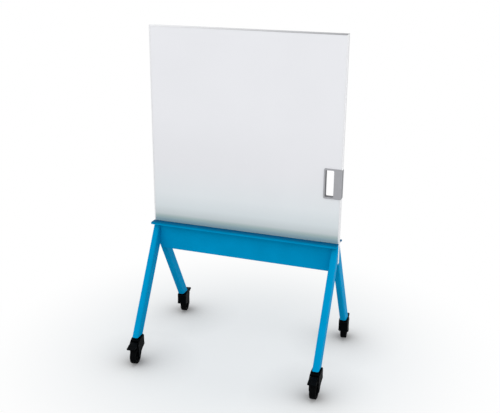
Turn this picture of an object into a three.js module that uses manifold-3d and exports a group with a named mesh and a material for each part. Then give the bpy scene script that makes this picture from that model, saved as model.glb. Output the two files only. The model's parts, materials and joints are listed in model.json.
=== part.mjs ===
// Rolling whiteboard: a double-sided board clamped between two steel rails that rest on four
// splayed legs, each leg on a braked swivel caster. Millimetres, +Z up, X along the board,
// -Y to the front, floor at z = 0.
import * as THREE from 'three';
import { mergeVertices } from 'three/addons/utils/BufferGeometryUtils.js';
import Module from 'manifold-3d';

const wasm = await Module();
wasm.setup();

// ---------------------------------------------------------------- driving dimensions
const GAP = 0.3; // clearance kept between pieces that touch
const WHEEL_SIDES = 24; // facets round a wheel
const RING_SIDES = 16;
const PIN_SIDES = 10;

// Board: a core with two steel writing skins and a U-shaped profile along each edge.
const BOARD_WIDTH = 1067;
const BOARD_TOP = 1811;
const BOARD_BURIED = 117; // height held between the rails
const BOARD_THICK = 24; // over the edge profiles
const SKIN_THICK = 1;
const LIP_THICK = 0.8; // edge profile, where it laps over the skins
const LIP_WIDTH = 6;
const EDGE_WALL = 1.2;

// Rails: folded sheet, each with a tray flange at the top and a lip closing the bottom.
const TRAY_TOP = 730;
const TRAY_REACH = 60; // from the middle of the board to the hemmed edge
const HEM_DEPTH = 12;
const SHEET = 3;
const WEB_DEPTH = 163;

// Legs: rectangular tubes with rounded corners, cut level at the foot.
const LEG_X = 515;
const LEG_WIDTH = 35.4;
const LEG_DEPTH = 64.4;
const LEG_RADIUS = 10.6;
const LEG_WALL = 2;
const LEG_SPLAY = THREE.MathUtils.degToRad(29.4); // from vertical
const LEG_CROSSING = 690.6; // height at which the front and rear leg axes meet
const LEG_END = 147;
const PLUG_LIP = 3;
const PLUG_HEIGHT = 42;

// Handle: two moulded halves around a through slot, flush with the right edge of the board.
const HANDLE_INNER_X = 439;
const HANDLE_OUTER_X = 535;
const HANDLE_LOW = 972;
const HANDLE_HIGH = 1132;
const HANDLE_PLATE = 4;
const HANDLE_RADIUS = 7;
const HANDLE_BORDER = 8.2; // plate showing above, below and left of the slot
const SLOT_LEFT = HANDLE_INNER_X + HANDLE_BORDER;
const SLOT_RIGHT = 492.2;
const SLOT_LOW = HANDLE_LOW + HANDLE_BORDER;
const SLOT_HIGH = HANDLE_HIGH - HANDLE_BORDER;
const SLOT_RADIUS = 5;
const LINER_WALL = 2.4;

// Casters, in a frame of their own: swivel axis at the origin, +X towards the trailing wheel.
const WHEEL_RADIUS = 50;
const TYRE_WIDTH = 35;
const TYRE_BORE = 39;
const TRAIL = 44.7;
const HOOD_WIDTH = 53;
const HOOD_WALL = 5.5;
const HOOD_INNER = -38;
const HOOD_TOP = 140.9;
const WHEEL_ROOM = 54.5; // radius of the space around the wheel
const PEDAL_PIN = { x: 58, z: 112, radius: 2.5 };
const PEDAL_WIDTH = 40; // at the hinge
const TREAD_WIDTH = 46;
const PEDAL_TIP = 124;
const AXLE_RADIUS = 4;
const STEM_RADIUS = 5.5; // inside the leg
const NECK_RADIUS = 6; // inside the swivel race
const COLLAR_RADIUS = 17;
const STEM_HEAD = { radius: 8.5, low: 104, high: 107 }; // riveted end that holds the hood up
const RACE_RADIUS = 14.5;
const RACE_LOW = 136;

// Rest heading of each trailing wheel, counter-clockwise from +X.
const CASTERS = [
  { corner: 'front_left', side: -1, end: -1, heading: -82 },
  { corner: 'front_right', side: 1, end: -1, heading: -88 },
  { corner: 'rear_left', side: -1, end: 1, heading: 100 },
  { corner: 'rear_right', side: 1, end: 1, heading: 97 },
];

// Fixings.
const BOARD_SCREW_SPACING = 210;
const BOARD_SCREW_COUNT = 5;
const BOARD_SCREW_HEIGHT = 650;
const BOARD_SCREW_RADIUS = 3;
const HANDLE_SCREW_X = 514;
const HANDLE_SCREW_SPACING = 110;
const HANDLE_SCREW_RADIUS = 2;

// ---------------------------------------------------------------- materials
const LOOKS = {
  blue: { color: 0x0092cc, roughness: 0.38, metalness: 0.15 },
  board: { color: 0xe6e7eb, roughness: 0.25, metalness: 0.0 },
  core: { color: 0xc9b48e, roughness: 0.85, metalness: 0.0 },
  edge: { color: 0xd4d6da, roughness: 0.4, metalness: 0.2 },
  grey: { color: 0xa0a1a5, roughness: 0.5, metalness: 0.0 },
  black: { color: 0x15171a, roughness: 0.5, metalness: 0.0 },
  rubber: { color: 0x1b1b1d, roughness: 0.8, metalness: 0.0 },
  steel: { color: 0xb4b7ba, roughness: 0.3, metalness: 1.0 },
};

// ---------------------------------------------------------------- solids
// Turns a closed three.js geometry into a solid, leaving out the collapsed triangles at a pole.
function solid(geometry) {
  const bare = geometry.clone();
  bare.deleteAttribute('normal');
  bare.deleteAttribute('uv');
  const merged = mergeVertices(bare, 1e-4);
  const index = merged.index.array;
  const kept = [];
  for (let i = 0; i < index.length; i += 3) {
    const [a, b, c] = [index[i], index[i + 1], index[i + 2]];
    if (a !== b && b !== c && c !== a) kept.push(a, b, c);
  }
  const vertProperties = new Float32Array(merged.attributes.position.array);
  return new wasm.Manifold(new wasm.Mesh({ numProp: 3, vertProperties, triVerts: new Uint32Array(kept) }));
}

function geometryOf(body) {
  const { vertProperties, triVerts } = body.getMesh();
  const geometry = new THREE.BufferGeometry();
  geometry.setAttribute('position', new THREE.BufferAttribute(new Float32Array(vertProperties), 3));
  geometry.setIndex(new THREE.BufferAttribute(new Uint32Array(triVerts), 1));
  geometry.computeVertexNormals();
  return geometry;
}

const cut = (body, ...tools) => tools.reduce((left, tool) => left.subtract(tool), body);
const join = (...bodies) => bodies.reduce((left, right) => left.add(right));

function block([x0, x1], [y0, y1], [z0, z1]) {
  const geometry = new THREE.BoxGeometry(x1 - x0, y1 - y0, z1 - z0);
  return solid(geometry.translate((x0 + x1) / 2, (y0 + y1) / 2, (z0 + z1) / 2));
}

// A rounded rectangle centred on the origin.
function roundedRect(width, height, radius) {
  const [x, y] = [width / 2, height / 2];
  const shape = new THREE.Shape();
  shape.moveTo(-x + radius, -y);
  shape.absarc(x - radius, -y + radius, radius, -Math.PI / 2, 0);
  shape.absarc(x - radius, y - radius, radius, 0, Math.PI / 2);
  shape.absarc(-x + radius, y - radius, radius, Math.PI / 2, Math.PI);
  shape.absarc(-x + radius, -y + radius, radius, Math.PI, 1.5 * Math.PI);
  return shape;
}

function extruded(shape, depth, curveSegments = 3) {
  return new THREE.ExtrudeGeometry(shape, { depth, curveSegments, bevelEnabled: false });
}

// A turned piece about +Z, from [radius, height] pairs.
function turned(profile, segments) {
  const points = profile.map(([radius, height]) => new THREE.Vector2(radius, height));
  return new THREE.LatheGeometry(points, segments).rotateX(Math.PI / 2);
}

// A plain pin about +Z between two heights.
const pin = (radius, low, high, segments = PIN_SIDES) =>
  solid(turned([[0, low], [radius, low], [radius, high], [0, high]], segments));

// Lays a piece made about +Z along Y, its top towards +Y, through the point (x, z).
const alongY = (body, x, z) => body.rotate([-90, 0, 0]).translate([x, 0, z]);

function add(group, name, body, look) {
  const mesh = new THREE.Mesh(geometryOf(body), new THREE.MeshStandardMaterial(LOOKS[look]));
  mesh.name = name;
  group.add(mesh);
}

// ---------------------------------------------------------------- board
const HALF_BOARD = BOARD_THICK / 2;
const HALF_WIDTH = BOARD_WIDTH / 2;
const BOARD_BOTTOM = TRAY_TOP - BOARD_BURIED;
const HALF_SKINNED = HALF_BOARD - LIP_THICK;
const HALF_CORE = HALF_SKINNED - SKIN_THICK;
const SCREW_XS = Array.from({ length: BOARD_SCREW_COUNT },
  (_, i) => (i - (BOARD_SCREW_COUNT - 1) / 2) * BOARD_SCREW_SPACING);
const HANDLE_MID = (HANDLE_LOW + HANDLE_HIGH) / 2;
const HANDLE_SCREW_ZS = [-1, 1].map((sign) => HANDLE_MID + (sign * HANDLE_SCREW_SPACING) / 2);

// A block through the board's whole thickness with the handle slot's outline, grown by margin.
function slotBlock(margin) {
  const width = SLOT_RIGHT - SLOT_LEFT + 2 * margin;
  const height = SLOT_HIGH - SLOT_LOW + 2 * margin;
  const outline = roundedRect(width, height, SLOT_RADIUS + margin);
  const body = solid(extruded(outline, 4 * BOARD_THICK).rotateX(Math.PI / 2));
  return body.translate([(SLOT_LEFT + SLOT_RIGHT) / 2, 2 * BOARD_THICK, (SLOT_LOW + SLOT_HIGH) / 2]);
}

// Clearance holes: the board screws' over a range of depth, then the handle screws' right through.
function screwHoles(depthRange) {
  const board = SCREW_XS.map((x) =>
    alongY(pin(BOARD_SCREW_RADIUS + GAP, ...depthRange), x, BOARD_SCREW_HEIGHT));
  const handle = HANDLE_SCREW_ZS.map((z) =>
    alongY(pin(HANDLE_SCREW_RADIUS + GAP, -BOARD_THICK, BOARD_THICK), HANDLE_SCREW_X, z));
  return [...board, ...handle];
}

function addBoard(group) {
  const inset = EDGE_WALL;
  const xs = [-HALF_WIDTH + inset, HALF_WIDTH - inset];
  const zs = [BOARD_BOTTOM + inset, BOARD_TOP - inset];
  const hole = slotBlock(LINER_WALL + GAP);
  const coreBlind = -HALF_CORE + 3;
  add(group, 'board_core', cut(block(xs, [-HALF_CORE, HALF_CORE], zs), hole,
    ...screwHoles([coreBlind, BOARD_THICK])), 'core');
  const behindFront = screwHoles([0, BOARD_THICK]).slice(BOARD_SCREW_COUNT);
  add(group, 'front_skin', cut(block(xs, [-HALF_SKINNED, -HALF_CORE], zs), hole, ...behindFront), 'board');
  add(group, 'rear_skin', cut(block(xs, [HALF_CORE, HALF_SKINNED], zs), hole,
    ...screwHoles([0, BOARD_THICK])), 'board');
}

// Edge profiles: the upright pair runs full height, the level pair fits between them.
function addEdges(group) {
  const channel = (xs, zs, innerXs, innerZs) =>
    cut(block(xs, [-HALF_BOARD, HALF_BOARD], zs), block(innerXs, [-HALF_SKINNED, HALF_SKINNED], innerZs));
  const full = [BOARD_BOTTOM, BOARD_TOP];
  const beyond = [BOARD_BOTTOM - 1, BOARD_TOP + 1];
  const lap = EDGE_WALL + LIP_WIDTH;
  const wall = HALF_WIDTH - EDGE_WALL;
  add(group, 'edge_left', channel([-HALF_WIDTH, -HALF_WIDTH + lap], full, [-wall, 0], beyond), 'edge');
  add(group, 'edge_right', channel([HALF_WIDTH - lap, HALF_WIDTH], full, [0, wall], beyond), 'edge');
  const between = [-HALF_WIDTH + lap, HALF_WIDTH - lap];
  const wide = [-HALF_WIDTH, HALF_WIDTH];
  add(group, 'edge_top', channel(between, [BOARD_TOP - lap, BOARD_TOP], wide,
    [BOARD_TOP - 2 * lap, BOARD_TOP - EDGE_WALL]), 'edge');
  add(group, 'edge_bottom', channel(between, [BOARD_BOTTOM, BOARD_BOTTOM + lap], wide,
    [BOARD_BOTTOM + EDGE_WALL, BOARD_BOTTOM + 2 * lap]), 'edge');
}

// ---------------------------------------------------------------- handle
// One half of the handle, in front of the middle of the board for end -1 and behind it for +1.
function handleHalf(end) {
  const plateFace = HALF_BOARD + GAP;
  const width = HANDLE_OUTER_X - HANDLE_INNER_X;
  const outline = roundedRect(width, HANDLE_HIGH - HANDLE_LOW, HANDLE_RADIUS);
  const full = solid(extruded(outline, 2 * (plateFace + HANDLE_PLATE)).rotateX(Math.PI / 2))
    .translate([HANDLE_INNER_X + width / 2, plateFace + HANDLE_PLATE, HANDLE_MID]);
  const faces = [-plateFace, plateFace];
  const boardRoom = block([0, HALF_WIDTH + GAP], faces, [HANDLE_LOW - 1, HANDLE_HIGH + 1]);
  const body = cut(join(cut(full, boardRoom), slotBlock(LINER_WALL).intersect(full)), slotBlock(0));
  const kept = end < 0 ? [-BOARD_THICK, -GAP / 2] : [GAP / 2, BOARD_THICK];
  const half = body.intersect(block([0, BOARD_WIDTH], kept, [HANDLE_LOW - 1, HANDLE_HIGH + 1]));
  const blind = end < 0 ? [-plateFace - HANDLE_PLATE + 1, 0] : [0, BOARD_THICK];
  return cut(half, ...HANDLE_SCREW_ZS.map((z) =>
    alongY(pin(HANDLE_SCREW_RADIUS + GAP, ...blind), HANDLE_SCREW_X, z)));
}

// A domed screw driven towards -Y, its head resting on the plane y = face.
function screw(radius, headRadius, headHeight, face, tip) {
  const profile = [[0, tip], [radius, tip], [radius, face + GAP], [headRadius, face + GAP],
    [headRadius, face + headHeight * 0.5], [headRadius * 0.6, face + headHeight], [0, face + headHeight]];
  return solid(turned(profile, PIN_SIDES));
}

function addHandle(group) {
  add(group, 'handle_front', handleHalf(-1), 'grey');
  add(group, 'handle_rear', handleHalf(1), 'grey');
  const face = HALF_BOARD + GAP + HANDLE_PLATE;
  ['lower', 'upper'].forEach((place, i) => {
    const body = screw(HANDLE_SCREW_RADIUS, 4, 2.4, face, -HALF_BOARD - 1.5);
    add(group, `handle_screw_${place}`, alongY(body, HANDLE_SCREW_X, HANDLE_SCREW_ZS[i]), 'steel');
  });
}

// ---------------------------------------------------------------- rails
// Front rail's section, as [y, z] pairs; the rear rail is the same piece turned about Z.
function railSection() {
  const inner = -HALF_BOARD - GAP;
  const outer = inner - SHEET;
  const bottom = TRAY_TOP - WEB_DEPTH;
  const corners = [[inner, TRAY_TOP], [-TRAY_REACH, TRAY_TOP], [-TRAY_REACH, TRAY_TOP - HEM_DEPTH],
    [-TRAY_REACH + SHEET, TRAY_TOP - HEM_DEPTH], [-TRAY_REACH + SHEET, TRAY_TOP - SHEET],
    [outer, TRAY_TOP - SHEET], [outer, bottom], [-GAP, bottom], [-GAP, bottom + SHEET],
    [inner, bottom + SHEET]];
  return new THREE.Shape(corners.map(([y, z]) => new THREE.Vector2(y, z)));
}

// The flange runs the board's full width; the web stops at the inner faces of the legs.
function rail() {
  const bar = solid(extruded(railSection(), BOARD_WIDTH).rotateX(Math.PI / 2).rotateZ(Math.PI / 2));
  const webEnd = LEG_X - LEG_WIDTH / 2 - GAP;
  const underFlange = [TRAY_TOP - WEB_DEPTH - 1, TRAY_TOP - SHEET - GAP];
  const legRoom = [-1, 1].map((side) => block(
    side < 0 ? [-HALF_WIDTH - 1, -webEnd] : [webEnd, HALF_WIDTH + 1], [-HALF_BOARD - 3 * SHEET, 0], underFlange));
  return cut(bar.translate([-HALF_WIDTH, 0, 0]), ...legRoom);
}

function addRails(group) {
  add(group, 'front_rail', rail(), 'blue');
  const holes = SCREW_XS.map((x) =>
    alongY(pin(BOARD_SCREW_RADIUS + GAP, 0, 2 * BOARD_THICK), x, BOARD_SCREW_HEIGHT));
  add(group, 'rear_rail', cut(rail().rotate([0, 0, 180]), ...holes), 'blue');
  const face = HALF_BOARD + GAP + SHEET;
  SCREW_XS.forEach((x, i) => {
    const body = screw(BOARD_SCREW_RADIUS, 6.5, 3.6, face, -HALF_CORE + 4);
    add(group, `board_screw_${i + 1}`, alongY(body, x, BOARD_SCREW_HEIGHT), 'steel');
  });
}

// ---------------------------------------------------------------- legs
const FOOT_Y = (LEG_CROSSING - LEG_END) * Math.tan(LEG_SPLAY); // of the leg's axis at its level cut

// A bar on a front leg's slanting axis, its section shrunk by inset all round.
function legBar(inset) {
  const shape = roundedRect(LEG_WIDTH - 2 * inset, LEG_DEPTH - 2 * inset, LEG_RADIUS - inset);
  const overrun = 60;
  const length = (TRAY_TOP - LEG_END) / Math.cos(LEG_SPLAY) + 2 * overrun;
  const bar = extruded(shape, length).translate(0, 0, -overrun).rotateX(-LEG_SPLAY);
  return solid(bar).translate([0, -FOOT_Y, LEG_END]);
}

const WIDE = [-LEG_WIDTH, LEG_WIDTH];
const BEHIND_BOARD_FACE = [-HALF_BOARD - GAP, FOOT_Y];
const slab = (low, high) => block(WIDE, [-2 * FOOT_Y, 0], [low, high]);

function legTube() {
  const ceiling = TRAY_TOP - SHEET - GAP;
  return cut(legBar(0), legBar(LEG_WALL), block(WIDE, BEHIND_BOARD_FACE, [0, 2 * TRAY_TOP]),
    block(WIDE, [-FOOT_Y, FOOT_Y], [ceiling, 2 * TRAY_TOP]),
    block(WIDE, [-2 * FOOT_Y, FOOT_Y], [-LEG_END, LEG_END]));
}

// Plug that closes the leg's foot and takes the caster's stem.
function legPlug() {
  const lip = legBar(0).intersect(slab(LEG_END - PLUG_LIP, LEG_END - GAP));
  const core = legBar(LEG_WALL + GAP).intersect(slab(LEG_END - PLUG_LIP, LEG_END + PLUG_HEIGHT));
  const bore = pin(STEM_RADIUS + GAP, 0, LEG_END + PLUG_HEIGHT - 4, RING_SIDES);
  return cut(join(lip, core), bore.translate([0, -FOOT_Y, 0]));
}

const atCorner = (body, side, end) => body.rotate([0, 0, end < 0 ? 0 : 180]).translate([side * LEG_X, 0, 0]);

function addLegs(group) {
  for (const { corner, side, end } of CASTERS) {
    add(group, `leg_${corner}`, atCorner(legTube(), side, end), 'blue');
    add(group, `leg_plug_${corner}`, atCorner(legPlug(), side, end), 'black');
  }
}

// ---------------------------------------------------------------- casters
const HALF_ROOM = HOOD_WIDTH / 2 - HOOD_WALL; // half the space between the cheeks

// Steel stem: riveted head, neck in the race, collar under the leg, and a shank up into the plug.
function stem() {
  const collar = [HOOD_TOP + GAP, LEG_END - PLUG_LIP - GAP];
  const top = LEG_END + PLUG_HEIGHT - 6;
  const { radius, low, high } = STEM_HEAD;
  const profile = [[0, low], [radius - 0.5, low], [radius, low + 1], [radius, high], [NECK_RADIUS, high + 0.5],
    [NECK_RADIUS, collar[0]], [COLLAR_RADIUS, collar[0]], [COLLAR_RADIUS, collar[1]],
    [STEM_RADIUS, collar[1]], [STEM_RADIUS, top - 2], [STEM_RADIUS - 2, top], [0, top]];
  return solid(turned(profile, RING_SIDES));
}

function race() {
  const inner = NECK_RADIUS + GAP;
  const profile = [[inner, RACE_LOW], [RACE_RADIUS, RACE_LOW], [RACE_RADIUS, HOOD_TOP - 1],
    [RACE_RADIUS - 1, HOOD_TOP], [inner, HOOD_TOP], [inner, RACE_LOW]];
  return solid(turned(profile, RING_SIDES));
}

// The hood's side outline: inner wall, roof falling to the pedal pin, cheeks down to the axle.
function hoodOutline() {
  const shape = new THREE.Shape();
  shape.moveTo(HOOD_INNER, 82);
  shape.quadraticCurveTo(HOOD_INNER, 77, HOOD_INNER + 8, 76);
  shape.quadraticCurveTo(4, 70, 18, 58);
  shape.quadraticCurveTo(28, 36, TRAIL, 35);
  shape.quadraticCurveTo(60, 36, 61, 54);
  shape.lineTo(60, 88);
  shape.lineTo(66, 108);
  shape.quadraticCurveTo(67, 119, 59, 125);
  shape.quadraticCurveTo(44, 139, 20, HOOD_TOP);
  shape.lineTo(HOOD_INNER + 12, HOOD_TOP);
  shape.quadraticCurveTo(HOOD_INNER, HOOD_TOP, HOOD_INNER, HOOD_TOP - 12);
  return shape;
}

function hoodPlan() {
  const [half, round, far] = [HOOD_WIDTH / 2, 10, 90]; // far is past the open end
  const shape = new THREE.Shape();
  shape.moveTo(far, half);
  shape.lineTo(HOOD_INNER + round, half);
  shape.absarc(HOOD_INNER + round, half - round, round, Math.PI / 2, Math.PI);
  shape.absarc(HOOD_INNER + round, -half + round, round, Math.PI, 1.5 * Math.PI);
  shape.lineTo(far, -half);
  return shape;
}

function hood() {
  const side = solid(extruded(hoodOutline(), HOOD_WIDTH, 4).rotateX(Math.PI / 2));
  const plan = solid(extruded(hoodPlan(), 2 * HOOD_TOP, 4));
  const body = side.translate([0, HOOD_WIDTH / 2, 0]).intersect(plan);
  const room = [-HALF_ROOM, HALF_ROOM];
  const across = [-HOOD_WIDTH, HOOD_WIDTH];
  const above = HOOD_TOP + 1;
  const wheelRoom = alongY(pin(WHEEL_ROOM, ...room, WHEEL_SIDES), TRAIL, WHEEL_RADIUS);
  const below = block([TRAIL - WHEEL_ROOM, PEDAL_TIP], room, [0, WHEEL_RADIUS]);
  const pedalRoom = block([PEDAL_PIN.x - 12, PEDAL_TIP], room, [WHEEL_RADIUS, above]);
  const pocket = block([HOOD_INNER + HOOD_WALL, -RACE_RADIUS], room, [0, RACE_LOW - HOOD_WALL]);
  const bore = pin(NECK_RADIUS + GAP, WHEEL_RADIUS, above, RING_SIDES);
  const headRoom = pin(STEM_HEAD.radius + 1.5, WHEEL_RADIUS, STEM_HEAD.high + 5, RING_SIDES);
  const raceSeat = pin(RACE_RADIUS + 0.5, RACE_LOW - GAP, above, RING_SIDES);
  const axleHole = alongY(pin(AXLE_RADIUS + GAP, ...across), TRAIL, WHEEL_RADIUS);
  const pinHole = alongY(pin(PEDAL_PIN.radius + GAP, ...across), PEDAL_PIN.x, PEDAL_PIN.z);
  return cut(body, wheelRoom, below, pedalRoom, pocket, bore, headRoom, raceSeat, axleHole, pinHole);
}

// A rivet along Y through both cheeks, with a head at each end.
function rivet(radius, headRadius, headHeight) {
  const face = HOOD_WIDTH / 2 + GAP;
  const profile = [[0, -face - headHeight], [headRadius * 0.8, -face - headHeight], [headRadius, -face],
    [radius, -face], [radius, face], [headRadius, face], [headRadius * 0.8, face + headHeight],
    [0, face + headHeight]];
  return solid(turned(profile, PIN_SIDES));
}

// Hub: a boss on the axle, a web and a rim inside the tyre.
function hub() {
  const [bore, boss, web, rim] = [AXLE_RADIUS + GAP, 12, 5, TYRE_BORE - GAP];
  const [bossHalf, rimHalf] = [HALF_ROOM - 0.5, TYRE_WIDTH / 2 - 2];
  const rimIn = rim - 4;
  const profile = [[bore, -bossHalf], [boss, -bossHalf], [boss + 2, -web], [rimIn, -web], [rimIn + 1, -rimHalf],
    [rim, -rimHalf], [rim, rimHalf], [rimIn + 1, rimHalf], [rimIn, web], [boss + 2, web], [boss, bossHalf],
    [bore, bossHalf], [bore, -bossHalf]];
  return solid(turned(profile, WHEEL_SIDES));
}

function tyre() {
  const half = TYRE_WIDTH / 2;
  const profile = [[TYRE_BORE, -half + 1], [TYRE_BORE + 1, -half], [WHEEL_RADIUS - 5, -half],
    [WHEEL_RADIUS - 1.5, -half + 2.5], [WHEEL_RADIUS, -half + 7], [WHEEL_RADIUS, half - 7],
    [WHEEL_RADIUS - 1.5, half - 2.5], [WHEEL_RADIUS - 5, half], [TYRE_BORE + 1, half],
    [TYRE_BORE, half - 1], [TYRE_BORE, -half + 1]];
  return solid(turned(profile, WHEEL_SIDES));
}

// Side outline of the pedal: hinge end, top to the tip, and back along the shoe over the tyre.
function pedalSide() {
  const side = new THREE.Shape();
  side.moveTo(51, 118);
  side.quadraticCurveTo(51, 130, 62, 131);
  side.quadraticCurveTo(84, 130, 98, 124);
  side.lineTo(PEDAL_TIP - 2, 121.5);
  side.lineTo(PEDAL_TIP, 118);
  side.lineTo(PEDAL_TIP - 3, 114.5);
  side.quadraticCurveTo(92, 116, 76, 105);
  side.lineTo(67, 99.5);
  side.lineTo(60, 103);
  return side;
}

// Plan of the pedal: narrow at the hinge, flaring to the tread, with round corners at the tip.
function pedalPlan() {
  const [start, flareStart, flareEnd] = [40, 74, 94];
  const middle = (flareStart + flareEnd) / 2;
  const [narrow, wide, tip, round] = [PEDAL_WIDTH / 2, TREAD_WIDTH / 2, PEDAL_TIP + 1, 9];
  const plan = new THREE.Shape();
  plan.moveTo(start, -narrow);
  plan.lineTo(flareStart, -narrow);
  plan.quadraticCurveTo(middle, -wide, flareEnd, -wide);
  plan.lineTo(tip - round, -wide);
  plan.quadraticCurveTo(tip, -wide, tip, -wide + round);
  plan.lineTo(tip, wide - round);
  plan.quadraticCurveTo(tip, wide, tip - round, wide);
  plan.lineTo(flareEnd, wide);
  plan.quadraticCurveTo(middle, wide, flareStart, narrow);
  plan.lineTo(start, narrow);
  return plan;
}

// Pedal with its brake shoe, hinged on the pin behind the roof.
function pedal() {
  const wide = TREAD_WIDTH / 2;
  const body = solid(extruded(pedalSide(), TREAD_WIDTH, 4).rotateX(Math.PI / 2)).translate([0, wide, 0]);
  const outline = solid(extruded(pedalPlan(), 2 * HOOD_TOP, 4));
  const pinHole = alongY(pin(PEDAL_PIN.radius + GAP, -wide, wide), PEDAL_PIN.x, PEDAL_PIN.z);
  return cut(body.intersect(outline), pinHole);
}

function addCaster(group, corner) {
  add(group, `caster_stem_${corner}`, stem(), 'steel');
  add(group, `swivel_race_${corner}`, race(), 'steel');
  add(group, `hood_${corner}`, hood(), 'black');
  add(group, `axle_${corner}`, alongY(rivet(AXLE_RADIUS, 7, 1.6), TRAIL, WHEEL_RADIUS), 'steel');
  add(group, `wheel_hub_${corner}`, alongY(hub(), TRAIL, WHEEL_RADIUS), 'black');
  add(group, `tyre_${corner}`, alongY(tyre(), TRAIL, WHEEL_RADIUS), 'rubber');
  add(group, `pedal_pin_${corner}`, alongY(rivet(PEDAL_PIN.radius, 4, 1), PEDAL_PIN.x, PEDAL_PIN.z), 'steel');
  add(group, `brake_pedal_${corner}`, pedal(), 'black');
}

// ---------------------------------------------------------------- assembly
const whiteboard = new THREE.Group();
addBoard(whiteboard);
addEdges(whiteboard);
addHandle(whiteboard);
addRails(whiteboard);
addLegs(whiteboard);
for (const { corner, side, end, heading } of CASTERS) {
  const caster = new THREE.Group();
  caster.position.set(side * LEG_X, end * FOOT_Y, 0);
  caster.rotation.z = THREE.MathUtils.degToRad(heading);
  addCaster(caster, corner);
  whiteboard.add(caster);
}

export default whiteboard;
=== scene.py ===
"""Rolling whiteboard: a double-sided board on a blue steel frame with four braked swivel casters.

Blender 4.5. Lengths are in metres, +Z up, X along the board, -Y to the front, floor at z = 0.
"""

import json
import math

import bmesh
import bpy
from mathutils import Matrix, Vector


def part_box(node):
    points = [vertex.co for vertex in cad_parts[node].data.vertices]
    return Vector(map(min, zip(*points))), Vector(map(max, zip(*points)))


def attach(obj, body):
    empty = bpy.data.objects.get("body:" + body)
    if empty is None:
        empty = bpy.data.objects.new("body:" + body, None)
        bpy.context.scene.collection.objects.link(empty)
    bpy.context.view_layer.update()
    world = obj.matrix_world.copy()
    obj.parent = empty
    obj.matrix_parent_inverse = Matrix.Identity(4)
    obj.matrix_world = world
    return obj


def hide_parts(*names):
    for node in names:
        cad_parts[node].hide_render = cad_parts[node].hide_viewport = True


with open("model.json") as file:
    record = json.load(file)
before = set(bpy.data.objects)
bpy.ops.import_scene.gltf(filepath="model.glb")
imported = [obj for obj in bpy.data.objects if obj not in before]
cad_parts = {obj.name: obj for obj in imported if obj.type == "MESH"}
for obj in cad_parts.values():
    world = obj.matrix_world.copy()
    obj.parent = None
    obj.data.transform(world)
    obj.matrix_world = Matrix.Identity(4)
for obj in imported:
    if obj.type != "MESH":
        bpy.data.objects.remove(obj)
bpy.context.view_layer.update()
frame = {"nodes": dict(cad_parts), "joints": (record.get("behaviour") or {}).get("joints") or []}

MM = 0.001
CORNERS = ("front_left", "front_right", "rear_left", "rear_right")
JOINTS = {joint["name"]: joint for joint in frame["joints"]}

# ---------------------------------------------------------------- places read from the frame
BOARD_LEFT, BOARD_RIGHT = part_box("edge_left")[0].x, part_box("edge_right")[1].x
BOARD_LOW, BOARD_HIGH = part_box("edge_left")[0].z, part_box("edge_left")[1].z
BOARD_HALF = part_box("edge_left")[1].y
SKIN_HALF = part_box("rear_skin")[1].y
EDGE_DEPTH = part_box("edge_left")[1].x - BOARD_LEFT
RAIL_LOW, RAIL_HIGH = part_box("front_rail")
LEG_LOW, LEG_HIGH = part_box("leg_front_right")
LEG_X = (LEG_LOW.x + LEG_HIGH.x) / 2
LEG_WIDTH = LEG_HIGH.x - LEG_LOW.x
HANDLE_LOW, HANDLE_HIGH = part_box("handle_front")
HANDLE_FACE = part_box("handle_rear")[1].y

# ---------------------------------------------------------------- sizes the boxes don't give
GAP = 0.3 * MM
SHEET = 3 * MM
EDGE_WALL = 1.2 * MM
LEG_DEPTH = 64.4 * MM
LEG_RADIUS = 10.6 * MM
LEG_WALL = 2 * MM
LEG_SPLAY = math.radians(29.4)
HEM_DEPTH = 12 * MM
HANDLE_BORDER = 8.2 * MM
SLOT_X = (HANDLE_LOW.x + HANDLE_BORDER, 492.2 * MM)
SLOT_Z = (HANDLE_LOW.z + HANDLE_BORDER, HANDLE_HIGH.z - HANDLE_BORDER)
SLOT_RADIUS = 5 * MM
LINER_WALL = 2.4 * MM
HANDLE_RADIUS = 7 * MM


# ---------------------------------------------------------------- outlines
def arc(centre, radius, start, stop, steps):
    """Points on an arc, angles in degrees, both ends included."""
    points = []
    for i in range(steps + 1):
        angle = math.radians(start + (stop - start) * i / steps)
        points.append((centre[0] + radius * math.cos(angle), centre[1] + radius * math.sin(angle)))
    return points


def curve(start, control, stop, steps):
    """Points on a quadratic Bezier curve, its start left out."""
    points = []
    for i in range(1, steps + 1):
        t = i / steps
        a, b, c = (1 - t) ** 2, 2 * t * (1 - t), t * t
        points.append(tuple(a * p + b * q + c * r for p, q, r in zip(start, control, stop)))
    return points


def rounded_rect(width, height, radius, steps=8, centre=(0, 0)):
    """A rounded rectangle's outline, counter-clockwise."""
    cx, cy = centre
    x, y = width / 2 - radius, height / 2 - radius
    corners = ((x, -y, -90), (x, y, 0), (-x, y, 90), (-x, -y, 180))
    outline = []
    for dx, dy, start in corners:
        outline += arc((cx + dx, cy + dy), radius, start, start + 90, steps)
    return outline


def folded_strip(corners, thickness, radius, steps=6):
    """The section of a folded sheet whose middle line runs through corners, bent to radius."""
    path = []
    points = [Vector(p) for p in corners]
    first, last = points[1] - points[0], points[-1] - points[-2]
    path.append((points[0], first.normalized()))
    for before, corner, after in zip(points, points[1:], points[2:]):
        along, onward = (corner - before).normalized(), (after - corner).normalized()
        side = 1 if along.cross(onward) > 0 else -1
        turn = along.angle(onward)
        start = corner - along * radius * math.tan(turn / 2)
        centre = start + side * radius * Vector((-along.y, along.x))
        for i in range(steps + 1):
            rotation = Matrix.Rotation(side * turn * i / steps, 2)
            path.append((centre + rotation @ (start - centre), rotation @ along))
    path.append((points[-1], last.normalized()))
    half = thickness / 2
    left = [p + half * Vector((-d.y, d.x)) for p, d in path]
    right = [p - half * Vector((-d.y, d.x)) for p, d in path]
    return [tuple(p) for p in right] + [tuple(p) for p in reversed(left)]


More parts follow.
